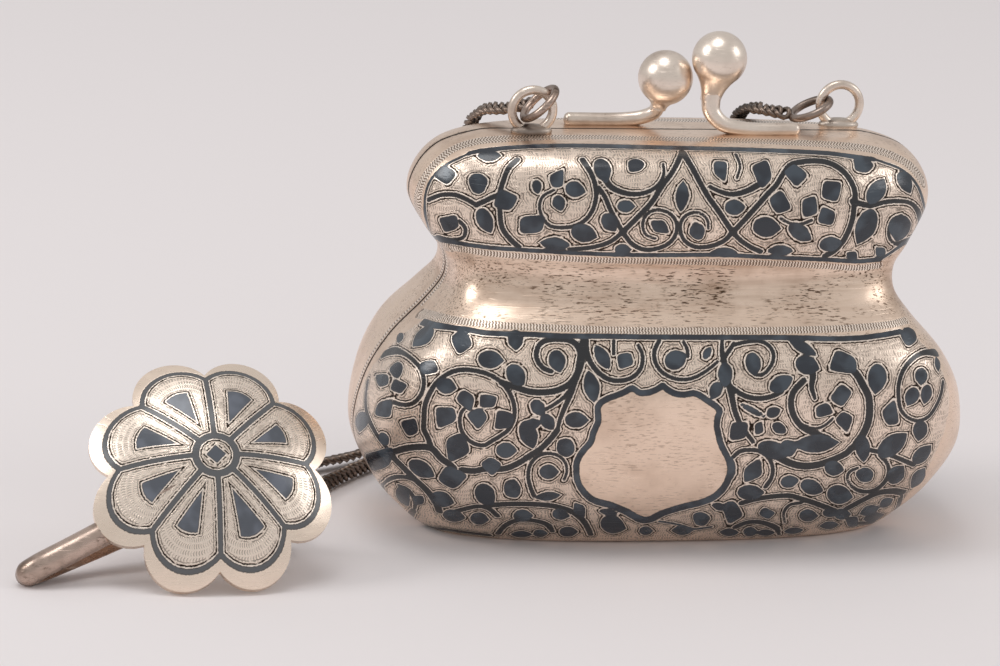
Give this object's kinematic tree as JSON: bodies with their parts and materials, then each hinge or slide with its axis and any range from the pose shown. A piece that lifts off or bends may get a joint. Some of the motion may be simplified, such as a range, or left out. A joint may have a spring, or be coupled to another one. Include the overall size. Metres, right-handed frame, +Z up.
{
  "type": "silver chatelaine purse",
  "caption": "Small rigid silver purse of domed niello shells with a ball clasp, hung by fine chains from a rosette belt hook.",
  "frame": {"origin": "middle of the underside of everything, on the table", "axes": "+X to the right along the purse's hinge, +Y to the back, +Z up; the front of the purse faces -Y"},
  "size_m": [0.1254, 0.0666, 0.0656],
  "materials": {
    "shell_silver": "polished silver, engraved and inlaid with niello",
    "wire_silver": "worn silver wire",
    "chain_silver": "tarnished silver",
    "rosette_silver": "polished silver, engraved and inlaid with niello"
  },
  "bodies": {
    "root": {"front_shell": "shell_silver", "back_shell": "shell_silver", "hinge_pin": "wire_silver", "jump_ring_left": "wire_silver", "jump_ring_right": "wire_silver", "chain_left": "chain_silver", "chain_right": "chain_silver", "hook_ring": "wire_silver", "belt_hook": "rosette_silver"}
  },
  "joints": []
}
